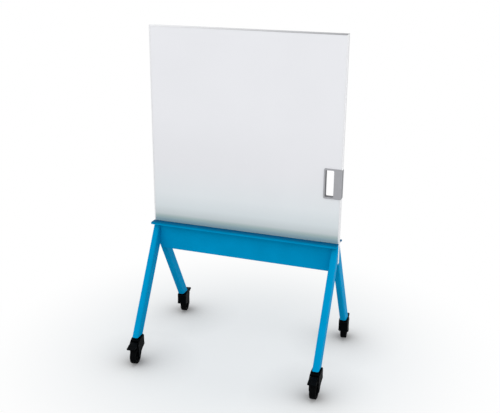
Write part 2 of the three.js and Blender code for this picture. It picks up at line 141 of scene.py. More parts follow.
def inward(outline):
    """Unit normals pointing into a counter-clockwise outline."""
    normals = []
    count = len(outline)
    for i in range(count):
        before = Vector(outline[i]) - Vector(outline[i - 1])
        after = Vector(outline[(i + 1) % count]) - Vector(outline[i])
        tangent = before.normalized() + after.normalized()
        tangent.normalize()
        normals.append(Vector((-tangent.y, tangent.x)))
    return normals


# ---------------------------------------------------------------- meshes
def mesh_object(name, vertices, faces):
    mesh = bpy.data.meshes.new(name)
    mesh.from_pydata([tuple(v) for v in vertices], [], faces)
    work = bmesh.new()
    work.from_mesh(mesh)
    bmesh.ops.recalc_face_normals(work, faces=work.faces)
    work.to_mesh(mesh)
    work.free()
    piece = bpy.data.objects.new(name, mesh)
    bpy.context.scene.collection.objects.link(piece)
    return piece


def loft(name, rings, closed=False):
    """A solid through rings of equal length; closed joins the last ring to the first."""
    count = len(rings[0])
    vertices = [p for ring in rings for p in ring]
    faces = []
    spans = len(rings) if closed else len(rings) - 1
    for r in range(spans):
        a, b = r * count, ((r + 1) % len(rings)) * count
        for i in range(count):
            j = (i + 1) % count
            faces.append((a + i, a + j, b + j, b + i))
    if not closed:
        faces.append(tuple(reversed(range(count))))
        faces.append(tuple(range((len(rings) - 1) * count, len(rings) * count)))
    return mesh_object(name, vertices, faces)


def turned(name, profile, segments=48):
    """A turned solid about +Z from (radius, height) pairs, from axis to axis or closed on itself."""
    vertices, rows, faces = [], [], []
    for radius, height in profile:
        count = 1 if radius < 1e-9 else segments
        rows.append((len(vertices), count))
        for i in range(count):
            angle = 2 * math.pi * i / segments
            vertices.append((radius * math.cos(angle), radius * math.sin(angle), height))
    on_axis = rows[0][1] == 1
    pairs = list(zip(rows, rows[1:])) + ([] if on_axis else [(rows[-1], rows[0])])
    for (a, a_count), (b, b_count) in pairs:
        for i in range(segments):
            j = (i + 1) % segments
            if a_count == 1:
                faces.append((a, b + i, b + j))
            elif b_count == 1:
                faces.append((a + i, a + j, b))
            else:
                faces.append((a + i, a + j, b + j, b + i))
    return mesh_object(name, vertices, faces)


def box(name, low, high):
    xs, ys, zs = zip(low, high)
    section = [(xs[0], ys[0]), (xs[1], ys[0]), (xs[1], ys[1]), (xs[0], ys[1])]
    return loft(name, [[(x, y, z) for x, y in section] for z in zs])


def pillow(name, outline, low, high, radii, steps=5):
    """An outline in X and Z given thickness from y = low to y = high, with its rims rounded.

    radii is the rounding at the low and the high rim, each a number or a list, one per point.
    """
    normals = inward(outline)
    rings = []
    for face, radius, inner in ((low, radii[0], 1), (high, radii[1], -1)):
        each = radius if isinstance(radius, list) else [radius] * len(outline)
        span = []
        for k in range(steps + 1):
            angle = math.pi / 2 * k / steps
            ring = []
            for point, normal, r in zip(outline, normals, each):
                inset = r * (1 - math.sin(angle))
                y = face + inner * r * (1 - math.cos(angle))
                ring.append((point[0] + normal.x * inset, y, point[1] + normal.y * inset))
            span.append(ring)
        if max(each) < 1e-9:
            span = span[:1]
        rings += span if face == low else span[::-1]
    return loft(name, rings)


def evaluated(piece):
    """Applies a piece's modifiers to its mesh."""
    bpy.context.view_layer.update()
    graph = bpy.context.evaluated_depsgraph_get()
    made = bpy.data.meshes.new_from_object(piece.evaluated_get(graph))
    made.name = piece.name
    piece.modifiers.clear()
    piece.data = made
    return piece


def combine(piece, operation, *tools):
    """Cuts tools from a piece or joins them to it, and removes them."""
    for tool in tools:
        step = piece.modifiers.new("combine", "BOOLEAN")
        step.operation, step.solver, step.object = operation, "EXACT", tool
        evaluated(piece)
        bpy.data.objects.remove(tool)
    return piece


def cut(piece, *tools):
    return combine(piece, "DIFFERENCE", *tools)


def join(piece, *tools):
    return combine(piece, "UNION", *tools)


def moved(piece, matrix):
    piece.data.transform(matrix)
    return piece


def along_y(piece, x=0.0, z=0.0):
    """Lays a piece made about +Z along Y, its top to the rear, through (x, z)."""
    return moved(piece, Matrix.Translation((x, 0, z)) @ Matrix.Rotation(-math.pi / 2, 4, "X"))


def smooth(piece, bevel=0.0, angle=35):
    """Rounds sharp edges by bevel, if any, and shades the piece smooth between its sharp edges."""
    if bevel:
        step = piece.modifiers.new("edges", "BEVEL")
        step.width, step.segments, step.limit_method = bevel, 2, "ANGLE"
        step.angle_limit = math.radians(angle)
        step.use_clamp_overlap = True
        evaluated(piece)
    piece.data.shade_smooth()
    piece.data.set_sharp_from_angle(angle=math.radians(angle))
    step = piece.modifiers.new("normals", "WEIGHTED_NORMAL")
    step.keep_sharp = True
    step.weight = 80
    return evaluated(piece)


def place(piece, name, body, look, nodes=(), matrix=None):
    """Names a finished piece, dresses it, sets it on the body it rides on, and hides the CAD nodes it stands
    for.
    """
    piece.name = name
    if matrix is not None:
        moved(piece, matrix)
    piece.data.materials.clear()
    piece.data.materials.append(look)
    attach(piece, body)
    if nodes:
        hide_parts(*nodes)
    return piece


def copy_of(piece):
    twin = bpy.data.objects.new(piece.name, piece.data.copy())
    bpy.context.scene.collection.objects.link(twin)
    return twin


def dress(node, look):
    """Gives a CAD node that stays a better material."""
    piece = frame["nodes"][node]
    piece.data.materials.clear()
    piece.data.materials.append(look)


# ---------------------------------------------------------------- materials
def srgb(code):
    """A linear colour from a hexadecimal sRGB code."""
    channels = [int(code[i:i + 2], 16) / 255 for i in (0, 2, 4)]
    linear = [c / 12.92 if c <= 0.04045 else ((c + 0.055) / 1.055) ** 2.4 for c in channels]
    return (*linear, 1.0)


RANGE_SOCKETS = ("From Min", "From Max", "To Min", "To Max")


class Look:
    """A Principled material with helpers for its patterns, which all read object coordinates."""

    def __init__(self, name, color, roughness, metallic=0.0, specular=0.5, tint="ffffff"):
        self.material = bpy.data.materials.new(name)
        self.material.use_nodes = True
        self.nodes = self.material.node_tree.nodes
        self.links = self.material.node_tree.links
        self.shader = self.nodes["Principled BSDF"]
        self.color = srgb(color)
        self.shader.inputs["Base Color"].default_value = self.color
        self.shader.inputs["Roughness"].default_value = roughness
        self.shader.inputs["Metallic"].default_value = metallic
        self.shader.inputs["Specular IOR Level"].default_value = specular
        self.shader.inputs["Specular Tint"].default_value = srgb(tint)
        self.coordinates = self.nodes.new("ShaderNodeTexCoord").outputs["Object"]

    def noise(self, size, detail=2.0, stretch=(1, 1, 1)):
        """Noise with features of about the given size, in metres, longer along a stretched axis."""
        source = self.coordinates
        if stretch != (1, 1, 1):
            mapping = self.nodes.new("ShaderNodeMapping")
            mapping.inputs["Scale"].default_value = [1 / s for s in stretch]
            self.links.new(source, mapping.inputs["Vector"])
            source = mapping.outputs["Vector"]
        texture = self.nodes.new("ShaderNodeTexNoise")
        texture.inputs["Scale"].default_value = 1 / size
        texture.inputs["Detail"].default_value = detail
        self.links.new(source, texture.inputs["Vector"])
        return texture.outputs["Fac"]

    def remap(self, value, low, high, to_low, to_high):
        node = self.nodes.new("ShaderNodeMapRange")
        for name, number in zip(RANGE_SOCKETS, (low, high, to_low, to_high)):
            node.inputs[name].default_value = number
        self.links.new(value, node.inputs["Value"])
        return node.outputs["Result"]

    def position(self, axis):
        """The coordinate along an axis, at rest."""
        node = self.nodes.new("ShaderNodeSeparateXYZ")
        self.links.new(self.coordinates, node.inputs[0])
        return node.outputs[axis]

    def depth(self):
        """The distance from the board's middle plane, at rest."""
        node = self.nodes.new("ShaderNodeMath")
        node.operation = "ABSOLUTE"
        self.links.new(self.position("Y"), node.inputs[0])
        return node.outputs[0]

    def ramp(self, value, stops):
        """A colour that runs through (position, linear colour) stops as value goes from 0 to 1."""
        node = self.nodes.new("ShaderNodeValToRGB")
        elements = node.color_ramp.elements
        while len(elements) < len(stops):
            elements.new(0.5)
        for element, (position, color) in zip(elements, stops):
            element.position, element.color = position, (*color, 1)
        self.links.new(value, node.inputs["Fac"])
        return node.outputs["Color"]

    def multiply(self, first, second):
        node = self.nodes.new("ShaderNodeVectorMath")
        node.operation = "MULTIPLY"
        self.links.new(first, node.inputs[0])
        self.links.new(second, node.inputs[1])
        return node.outputs["Vector"]

    def mix(self, factor, first, second):
        """Mixes two colours; first may be a socket."""
        node = self.nodes.new("ShaderNodeMix")
        node.data_type = "RGBA"
        self.links.new(factor, node.inputs["Factor"])
        for socket, value in ((node.inputs["A"], first), (node.inputs["B"], second)):
            if isinstance(value, bpy.types.NodeSocket):
                self.links.new(value, socket)
            else:
                socket.default_value = value
        return node.outputs["Result"]

    def vary_color(self, value, spread, low=0.3, high=0.7):
        """Darkens and lightens the base colour by spread as value goes from low to high."""
        dark = [c * (1 - spread) for c in self.color[:3]] + [1]
        light = [min(1, c * (1 + spread)) for c in self.color[:3]] + [1]
        color = self.mix(self.remap(value, low, high, 0, 1), dark, light)
        self.links.new(color, self.shader.inputs["Base Color"])
        return color

    def vary_roughness(self, value, smoothest, roughest):
        self.links.new(self.remap(value, 0.3, 0.7, smoothest, roughest), self.shader.inputs["Roughness"])

    def bump(self, value, distance, strength=1.0):
        node = self.nodes.new("ShaderNodeBump")
        node.inputs["Distance"].default_value = distance
        node.inputs["Strength"].default_value = strength
        self.links.new(value, node.inputs["Height"])
        self.links.new(node.outputs["Normal"], self.shader.inputs["Normal"])

    def worn_edges(self, color, worn, radius, amount):
        """Lightens the base colour along convex edges, where handling polishes it."""
        bevel = self.nodes.new("ShaderNodeBevel")
        bevel.samples = 4
        bevel.inputs["Radius"].default_value = radius
        geometry = self.nodes.new("ShaderNodeNewGeometry")
        dot = self.nodes.new("ShaderNodeVectorMath")
        dot.operation = "DOT_PRODUCT"
        self.links.new(bevel.outputs["Normal"], dot.inputs[0])
        self.links.new(geometry.outputs["Normal"], dot.inputs[1])
        edge = self.remap(dot.outputs["Value"], 0.99, 0.75, 0, amount)
        self.links.new(self.mix(edge, color, worn), self.shader.inputs["Base Color"])


def paint_look():
    """Blue powder coat, its colour darkened on top of the trays where the board shades them."""
    look = Look("blue_powder_coat", "0090c4", 0.4, specular=0.012, tint="40b0f0")
    color = look.vary_color(look.noise(140 * MM, 3), 0.05)
    reach = 62 * MM
    across = look.remap(look.depth(), 0, reach, 0, 1)
    tints = ((12, (0.3, 0.34, 0.4)), (20, (0.3, 0.35, 0.39)), (32, (0.3, 0.36, 0.42)),
             (45, (0.4, 0.43, 0.48)), (57, (0.5, 0.53, 0.55)), (61, (0.7, 0.72, 0.73)))
    shaded = look.multiply(color, look.ramp(across, [(y * MM / reach, tint) for y, tint in tints]))
    on_tray = look.remap(look.position("Z"), RAIL_HIGH.z - 9 * MM, RAIL_HIGH.z - 3 * MM, 0, 1)
    look.worn_edges(look.mix(on_tray, color, shaded), srgb("179fd4"), 0.9 * MM, 0.35)
    look.vary_roughness(look.noise(60 * MM, 4), 0.30, 0.42)
    look.bump(look.noise(1.3 * MM, 2), 0.03 * MM, 0.6)
    return look.material


def enamel_look():
    """White enamel, its colour shaded grey-blue above the tray, as the tray's shadow and reflection do."""
    look = Look("white_enamel", "ebecf0", 0.16, specular=0.35)
    color = look.vary_color(look.noise(420 * MM, 2), 0.012)
    reach = 600 * MM
    above_tray = look.remap(look.position("Z"), RAIL_HIGH.z, RAIL_HIGH.z + reach, 0, 1)
    tints = ((8, (0.33, 0.48, 0.52)), (30, (0.48, 0.60, 0.57)), (46, (0.69, 0.75, 0.74)),
             (90, (0.82, 0.88, 0.875)), (170, (0.91, 0.95, 0.945)), (340, (0.965, 0.965, 0.965)),
             (600, (1, 1, 1)))
    # Painted shadow and reflection of the tray: grey-blue just above it, fading out 600 mm up.
    tray_shade = look.ramp(above_tray, [(height * MM / reach, tint) for height, tint in tints])
    look.links.new(look.multiply(color, tray_shade), look.shader.inputs["Base Color"])
    look.vary_roughness(look.noise(70 * MM, 5, (3, 1, 1)), 0.13, 0.22)
    look.bump(look.noise(9 * MM, 2), 0.02 * MM, 0.35)
    return look.material


def edge_look(name, color, roughness, metallic, stretch, right_end_shading):
    """Drawn aluminium, its fine lines running along the profile, its colour running along X into a painted
    shade and reflection given for its right end.
    """
    look = Look(name, color, roughness, metallic=metallic)
    lines = look.vary_color(look.noise(1.1 * MM, 2, stretch), 0.03)
    # Painted reflection and shade: the colour goes from left to right into the colour given for the right
    # end.
    along = look.remap(look.position("X"), BOARD_LEFT, BOARD_RIGHT, 0, 1)
    look.links.new(look.mix(along, lines, srgb(right_end_shading)), look.shader.inputs["Base Color"])
    look.vary_roughness(look.noise(0.8 * MM, 2, stretch), roughness - 0.06, roughness + 0.08)
    look.bump(look.noise(0.5 * MM, 2, stretch), 0.01 * MM, 0.5)
    return look.material


def handle_look():
    look = Look("grey_moulding", "a4a5a9", 0.5)
    color = look.vary_color(look.noise(30 * MM, 3), 0.03)
    # Painted shade: faces set back from the handle's face are darker, the slot's walls most, and less past
    # the slot's right end.
    inside = look.remap(look.depth(), HANDLE_FACE - 1.8 * MM, HANDLE_FACE - 0.3 * MM, 1, 0)
    past_slot = look.remap(look.position("X"), SLOT_X[1] + 5 * MM, SLOT_X[1] + 15 * MM, 0, 1)
    color = look.mix(inside, color, look.mix(past_slot, srgb("6a6b70"), srgb("818286")))
    look.worn_edges(color, srgb("bdbec2"), 1.0 * MM, 0.3)
    look.vary_roughness(look.noise(12 * MM, 3), 0.42, 0.56)
    look.bump(look.noise(0.7 * MM, 3), 0.06 * MM, 0.7)
    return look.material


def nylon_look():
    look = Look("black_nylon", "020406", 0.5, specular=0.03)
    color = look.vary_color(look.noise(18 * MM, 3), 0.2)
    look.worn_edges(color, srgb("0b0e11"), 0.8 * MM, 0.5)
    look.vary_roughness(look.noise(9 * MM, 4), 0.38, 0.55)
    look.bump(look.noise(0.45 * MM, 3), 0.05 * MM, 0.7)
    return look.material


def hub_look():
    look = Look("black_hub", "050709", 0.45, specular=0.07)
    look.vary_color(look.noise(10 * MM, 3), 0.2)
    look.vary_roughness(look.noise(6 * MM, 3), 0.33, 0.48)
    look.bump(look.noise(0.6 * MM, 2), 0.04 * MM, 0.5)
    return look.material


def rubber_look():
    look = Look("tyre_rubber", "040506", 0.72, specular=0.05)
    look.vary_color(look.noise(7 * MM, 5), 0.35)
    look.vary_roughness(look.noise(4 * MM, 5), 0.6, 0.82)
    look.bump(look.noise(0.9 * MM, 4), 0.08 * MM, 0.8)
    return look.material


def dark_steel_look():
    look = Look("dark_steel", "15171a", 0.36, metallic=0.9)
    look.vary_color(look.noise(5 * MM, 3), 0.15)
    look.vary_roughness(look.noise(1.5 * MM, 3, (1, 1, 6)), 0.26, 0.44)
    look.bump(look.noise(0.4 * MM, 2, (4, 4, 1)), 0.012 * MM, 0.6)
    return look.material


def zinc_look():
    look = Look("zinc_screw", "b9bcc0", 0.3, metallic=1.0)
    look.vary_color(look.noise(2 * MM, 3), 0.06)
    look.vary_roughness(look.noise(0.8 * MM, 3), 0.22, 0.38)
    look.bump(look.noise(0.3 * MM, 2), 0.01 * MM, 0.6)
    return look.material


def core_look():
    look = Look("pressed_core", "b99f74", 0.85)
    look.vary_color(look.noise(1.6 * MM, 6, (3, 1, 3)), 0.3)
    look.bump(look.noise(1.1 * MM, 5), 0.1 * MM, 0.8)
    return look.material


PAINT = paint_look()
ENAMEL = enamel_look()
# Last colours: painted shade at the right ends, a touch lighter on the uprights and darker on the level
# profiles.
EDGE_UPRIGHT = edge_look("edge_profile_upright", "eff0f2", 0.3, 0.35, (1, 1, 60), "f1f2f4")
EDGE_LEVEL = edge_look("edge_profile_level", "f2f3f5", 0.34, 0.35, (60, 1, 1), "a8a9ac")
MOULDING = handle_look()
NYLON = nylon_look()
HUB = hub_look()
RUBBER = rubber_look()
DARK_STEEL = dark_steel_look()
ZINC = zinc_look()
CORE = core_look()


# ---------------------------------------------------------------- board
def edge_section():
    """The edge profile's section: (across the board, in from its edge), rounded at the outside."""
    corner, lip_round = 1.6 * MM, 0.3 * MM
    half, skin = BOARD_HALF, SKIN_HALF + 0.05 * MM
    section = arc((-half + corner, corner), corner, 180, 270, 6)
    section += arc((half - corner, corner), corner, 270, 360, 6)
    section += arc((half - lip_round, EDGE_DEPTH - lip_round), lip_round, 0, 90, 3)
    section += [(skin, EDGE_DEPTH), (skin, EDGE_WALL), (-skin, EDGE_WALL), (-skin, EDGE_DEPTH)]
    section += arc((-half + lip_round, EDGE_DEPTH - lip_round), lip_round, 90, 180, 3)
    return section


def mitred_profile(name, length):
    """An edge profile along X, outer face down at z = 0, both ends mitred to meet its neighbours."""
    seam = 0.12 * MM
    section = edge_section()
    rings = [[(side * (length / 2 - depth - seam), across, depth) for across, depth in section]
             for side in (-1, 1)]
    return smooth(loft(name, rings))


def add_edges():
    width, height = BOARD_RIGHT - BOARD_LEFT, BOARD_HIGH - BOARD_LOW
    middle = (BOARD_LOW + BOARD_HIGH) / 2
    sides = {
        "bottom": (width, 0, (0, 0, BOARD_LOW), EDGE_LEVEL),
        "top": (width, 180, (0, 0, BOARD_HIGH), EDGE_LEVEL),
        "left": (height, 90, (BOARD_LEFT, 0, middle), EDGE_UPRIGHT),
        "right": (height, -90, (BOARD_RIGHT, 0, middle), EDGE_UPRIGHT),
    }
    for side, (length, turn, spot, look) in sides.items():
        piece = mitred_profile(f"edge_profile_{side}", length)
        turning = Matrix.Rotation(math.radians(turn), 4, "Y")
        moved(piece, Matrix.Translation(spot) @ turning)
        place(piece, f"edge_profile_{side}", "frame", look, [f"edge_{side}"])


def add_board():
    dress("board_core", CORE)
    dress("front_skin", ENAMEL)
    dress("rear_skin", ENAMEL)
    add_edges()


# ---------------------------------------------------------------- handle
def slot_outline(margin):
    size = (SLOT_X[1] - SLOT_X[0] + 2 * margin, SLOT_Z[1] - SLOT_Z[0] + 2 * margin)
    centre = (sum(SLOT_X) / 2, sum(SLOT_Z) / 2)
    return rounded_rect(*size, SLOT_RADIUS + margin, 8, centre)


def slot_cutter(face, flare):
    """The slot from the middle of the board out past face, widening at the face by flare."""
    side = -1 if face < 0 else 1
    rings = [[(x, -side * MM, z) for x, z in slot_outline(0)]]
    for k in range(7):
        angle = math.pi / 2 * k / 6
        y = face - side * flare * (1 - math.sin(angle))
        rings.append([(x, y, z) for x, z in slot_outline(flare * (1 - math.cos(angle)))])
    rings.append([(x, face + side * 5 * MM, z) for x, z in slot_outline(flare)])
    return loft("slot_cutter", rings)


def handle_half(side):
    """One moulded half: a rounded plate, the wall past the board's edge, and half the slot's liner."""
    face = side * HANDLE_FACE
    centre = ((HANDLE_LOW.x + HANDLE_HIGH.x) / 2, (HANDLE_LOW.z + HANDLE_HIGH.z) / 2)
    size = (HANDLE_HIGH.x - HANDLE_LOW.x, HANDLE_HIGH.z - HANDLE_LOW.z)
    outline = rounded_rect(*size, HANDLE_RADIUS, 8, centre)
    parting, rim, part_rim = side * GAP / 2, 1.8 * MM, 0.4 * MM
    low, high = sorted((face, parting))
    radii = (rim, part_rim) if side < 0 else (part_rim, rim)
    body = pillow("handle", outline, low, high, radii)
    plate_back = side * (BOARD_HALF + GAP)
    room_low, room_high = sorted((plate_back, -side * 2 * MM))
    cut(body, box("room", (HANDLE_LOW.x - MM, room_low, HANDLE_LOW.z - MM),
                  (BOARD_RIGHT + GAP, room_high, HANDLE_HIGH.z + MM)))
    liner_low, liner_high = sorted((plate_back + side * MM, parting))
    join(body, pillow("liner", slot_outline(LINER_WALL), liner_low, liner_high, (0, 0)))
    cut(body, slot_cutter(face, 1.5 * MM))
    return smooth(body)


def screw_head(name, radius, height, shaft_radius, shaft_depth, socket):
    """A domed screw about +Z with its head's underside at z = 0 and a six-sided socket."""
    dome = [(radius * math.sin(a), height * (0.25 + 0.75 * math.cos(a)))
            for a in (math.pi / 2 * i / 8 for i in range(9))]
    profile = dome + [(radius, 0), (shaft_radius, 0), (shaft_radius, -shaft_depth + 0.5 * MM),
                      (shaft_radius - 0.5 * MM, -shaft_depth), (0, -shaft_depth)]
    head = turned(name, profile, 36)
    floor, above = height * 0.35, 2 * height
    tool = turned("socket", [(0, floor), (socket, floor), (socket, above), (0, above)], 6)
    return smooth(cut(head, tool), 0.12 * MM)


def add_handle():
    place(handle_half(-1), "handle_shell_front", "frame", MOULDING, ["handle_front"])
    place(handle_half(1), "handle_shell_rear", "frame", MOULDING, ["handle_rear"])
    head = screw_head("handle_screw", 4 * MM, 2.3 * MM, 2 * MM, 25 * MM, 1.4 * MM)
    for spot in ("lower", "upper"):
        low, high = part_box(f"handle_screw_{spot}")
        matrix = Matrix.Translation(((low.x + high.x) / 2, HANDLE_FACE + GAP, (low.z + high.z) / 2))
        matrix @= Matrix.Rotation(-math.pi / 2, 4, "X")
        place(copy_of(head), f"handle_screw_head_{spot}", "frame", ZINC,
              [f"handle_screw_{spot}"], matrix)
    bpy.data.objects.remove(head)


# ---------------------------------------------------------------- rails
def rail_section():
    """The front rail's folded section in Y and Z: hem, flange, web and bottom lip."""
    half = SHEET / 2
    inner, reach = -BOARD_HALF - GAP, RAIL_LOW.y
    hem_low = RAIL_HIGH.z - HEM_DEPTH
    corners = [(reach + half, hem_low), (reach + half, RAIL_HIGH.z - half),
               (inner - half, RAIL_HIGH.z - half), (inner - half, RAIL_LOW.z + half),
               (-GAP, RAIL_LOW.z + half)]
    return folded_strip(corners, SHEET, 3 * MM, 7)


def rail():
    section = rail_section()
    bar = loft("rail", [[(x, y, z) for y, z in section] for x in (RAIL_LOW.x, RAIL_HIGH.x)])
    web_end = LEG_X - LEG_WIDTH / 2 - GAP
    ceiling = LEG_HIGH.z
    for side in (-1, 1):
        near, far = sorted((side * web_end, side * (RAIL_HIGH.x + MM)))
        cut(bar, box("notch", (near, -25 * MM, RAIL_LOW.z - MM), (far, MM, ceiling)))
    return bar


def add_rails():
    front = smooth(rail(), 0.35 * MM)
    place(front, "rail_front", "frame", PAINT, ["front_rail"])
    rear = moved(rail(), Matrix.Rotation(math.pi, 4, "Z"))
    screws = sorted(n for n in frame["nodes"] if n.startswith("board_screw_"))
    face = BOARD_HALF + GAP + SHEET
    head = screw_head("board_screw", 6.5 * MM, 3.5 * MM, 3 * MM, 20 * MM, 2.4 * MM)
    for name in screws:
        low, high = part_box(name)
        x, z = (low.x + high.x) / 2, (low.z + high.z) / 2
        tool = turned("hole", [(0, 0), (3.3 * MM, 0), (3.3 * MM, 30 * MM), (0, 30 * MM)], 24)
        cut(rear, along_y(tool, x, z))
        matrix = Matrix.Translation((x, face + GAP, z)) @ Matrix.Rotation(-math.pi / 2, 4, "X")
        place(copy_of(head), name.replace("screw", "screw_head"), "frame", ZINC,
              [name], matrix)
    bpy.data.objects.remove(head)
    place(smooth(rear, 0.35 * MM), "rail_rear", "frame", PAINT, ["rear_rail"])


# ---------------------------------------------------------------- legs
SWIVELS = {corner: Vector(JOINTS[f"swivel_{corner}"]["pos_m"]) for corner in CORNERS}
FOOT_Y = abs(SWIVELS["front_right"].y)
FOOT_Z = LEG_LOW.z


def leg_ring(inset, height):
    """The leg's section at a level cut, for a front leg standing at x = 0."""
    outline = rounded_rect(LEG_WIDTH - 2 * inset, LEG_DEPTH - 2 * inset, LEG_RADIUS - inset, 10)
    sine, cosine = math.sin(LEG_SPLAY), math.cos(LEG_SPLAY)
    ring = []
    for across, depth in outline:
        along = (height - FOOT_Z + depth * sine) / cosine
        ring.append((across, -FOOT_Y + depth * cosine + along * sine, height))
    return ring


def leg_tube():
    top = LEG_HIGH.z
    bar = loft("leg", [leg_ring(0, FOOT_Z), leg_ring(0, top)])
    cut(bar, loft("hollow", [leg_ring(LEG_WALL, FOOT_Z - MM), leg_ring(LEG_WALL, top + MM)]))
    cut(bar, box("board_room", (-LEG_WIDTH, -BOARD_HALF - GAP, 0.5), (LEG_WIDTH, 0.2, 1)))
    return smooth(bar, 0.3 * MM)


def leg_plug():
    lip_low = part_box("leg_plug_front_right")[0].z
    lip_high, core_high = FOOT_Z - GAP, FOOT_Z + 42 * MM
    inner = LEG_WALL + GAP
    rings = [leg_ring(0.8 * MM, lip_low), leg_ring(0.2 * MM, lip_low + 0.25 * MM),
             leg_ring(0, lip_low + 0.9 * MM), leg_ring(0, lip_high),
             leg_ring(inner, lip_high + 0.02 * MM), leg_ring(inner, core_high)]
    return smooth(loft("leg_plug", rings))


def add_legs():
    tube, plug = leg_tube(), leg_plug()
    for corner in CORNERS:
        side = -1 if corner.endswith("left") else 1
        turn = math.pi if corner.startswith("rear") else 0
        matrix = Matrix.Translation((side * LEG_X, 0, 0)) @ Matrix.Rotation(turn, 4, "Z")
        place(copy_of(tube), f"leg_tube_{corner}", "frame", PAINT,
              [f"leg_{corner}"], matrix)
        place(copy_of(plug), f"leg_plug_cap_{corner}", "frame", NYLON,
              [f"leg_plug_{corner}"], matrix)
    bpy.data.objects.remove(tube)
    bpy.data.objects.remove(plug)


# ---------------------------------------------------------------- casters, about their swivel axis
AXLE_X = (Vector(JOINTS["roll_front_left"]["pos_m"]) - SWIVELS["front_left"]).xy.length
AXLE_Z = JOINTS["roll_front_left"]["pos_m"][2]
PEDAL_PIN_X = (Vector(JOINTS["brake_front_left"]["pos_m"]) - SWIVELS["front_left"]).xy.length
PEDAL_PIN_Z = JOINTS["brake_front_left"]["pos_m"][2]
HOOD_HALF = 26.5 * MM
HOOD_WALL = 5.5 * MM
HOOD_INNER = -38 * MM
HOOD_TOP = 140.9 * MM
WHEEL_ROOM = 54.5 * MM
HALF_ROOM = HOOD_HALF - HOOD_WALL


def scaled(points):
    return [(x * MM, z * MM) for x, z in points]


def hood_outline():
    """The hood's side outline, counter-clockwise seen with X to the right and Z up."""
    outline = [(18, 58)] + curve((18, 58), (28, 36), (44.7, 35), 8) + curve((44.7, 35), (60, 36), (61, 54), 8)
    outline += [(60.5, 71), (60, 88), (63, 98), (66, 108)] + curve((66, 108), (67, 119), (59, 125), 5)
    outline += curve((59, 125), (44, 139), (20, 140.9), 8) + [(4, 140.9), (-12, 140.9)]
    outline += [(-26, 140.9)] + curve((-26, 140.9), (-38, 140.9), (-38, 128.9), 8) + [(-38, 112), (-38, 98)]
    outline += [(-38, 82)] + curve((-38, 82), (-38, 77), (-30, 76), 5)
    outline += curve((-30, 76), (4, 70), (18, 58), 8)[:-1]
    return scaled(outline)


def hood():
    outline = hood_outline()
    inner_rim, rim = 9 * MM, 2.2 * MM
    radii = []
    for x, z in outline:
        nearness = min(1, max(0, (-26 * MM - x) / (12 * MM)))
        high = 1 if z > 84 * MM else 0.3
        radii.append(rim + (inner_rim - rim) * nearness * high)
    body = pillow("hood", outline, -HOOD_HALF, HOOD_HALF, (radii, radii), 7)
    room = (-HALF_ROOM, HALF_ROOM)
    wheel_room = [(0, room[0]), (WHEEL_ROOM, room[0]), (WHEEL_ROOM, room[1]), (0, room[1])]
    tools = [
        along_y(turned("wheel_room", wheel_room, 72), AXLE_X, AXLE_Z),
        box("below", (AXLE_X - WHEEL_ROOM, room[0], 0), (0.12, room[1], AXLE_Z)),
        box("pedal_room", (46 * MM, room[0], AXLE_Z), (0.12, room[1], 0.16)),
        box("pocket", (HOOD_INNER + HOOD_WALL, room[0], 0), (-14 * MM, room[1], 130 * MM)),
        turned("race_seat", [(0, 135.7 * MM), (15 * MM, 135.7 * MM), (15 * MM, 0.15), (0, 0.15)], 48),
        turned("head_room", [(0, 0.06), (10 * MM, 0.06), (10 * MM, 0.112), (6.3 * MM, 0.112),
                             (6.3 * MM, 0.15), (0, 0.15)], 48),
    ]
    for side in (-1, 1):
        face = side * HOOD_HALF
        low, high = sorted((face - side * 0.9 * MM, face + side * MM))
        for radius, sides, spot in ((9.5 * MM, 48, (AXLE_X, AXLE_Z)),
                                    (5.5 * MM, 36, (PEDAL_PIN_X, PEDAL_PIN_Z))):
            recess = [(0, low), (radius, low), (radius, high), (0, high)]
            tools.append(along_y(turned("recess", recess, sides), *spot))
    cut(body, *tools)
    return smooth(body)


def pedal():
    """The pedal, lofted through upright sections from its barrel to its grooved tread."""
    top = scaled([(51, 118)] + curve((51, 118), (51, 130), (62, 131), 12)
                 + curve((62, 131), (84, 130), (98, 124), 12)
                 + [(122, 121.5), (123.6, 120), (124, 118)])
    bottom = scaled([(51, 118), (52.5, 114), (60, 103), (67, 99.5), (76, 105)]
                    + curve((76, 105), (92, 116), (121, 114.5), 12) + [(123.4, 116.2), (124, 118)])

    def height(line, x):
        for (x0, z0), (x1, z1) in zip(line, line[1:]):
            if x0 <= x <= x1 and x1 > x0:
                return z0 + (z1 - z0) * (x - x0) / (x1 - x0)
        return line[-1][1]

    def half_width(x):
        flare = min(1, max(0, (x / MM - 74) / 20))
        half = 20 + 3 * flare * flare * (3 - 2 * flare)
        past = max(0, x / MM - 115)
        return (half - 9 + math.sqrt(max(0, 81 - past * past))) * MM

    tread, groove_pitch = (98.5, 119.5), 4.2
    stations = [51 + 0.3 * k * k / 4 for k in range(1, 9)]
    stations += [56 + 2 * k for k in range(1, 21)] + [97 + 0.4 * k for k in range(0, 60)]
    stations += [121 + 0.3 * k for k in range(0, 10)]
    rings = []
    for station in stations:
        x = station * MM
        groove = 0.0
        if tread[0] < station < tread[1]:
            groove = 0.8 * MM * max(0, math.sin((station - tread[0]) / groove_pitch * 2 * math.pi)) ** 2
        low, high = height(bottom, x), height(top, x) - groove
        half = half_width(x)
        radius = min(2.4 * MM, (high - low) * 0.45)
        section = rounded_rect(2 * half, high - low, radius, 5, (0, (low + high) / 2))
        rings.append([(x, y, z) for y, z in section])
    return smooth(loft("pedal", rings))


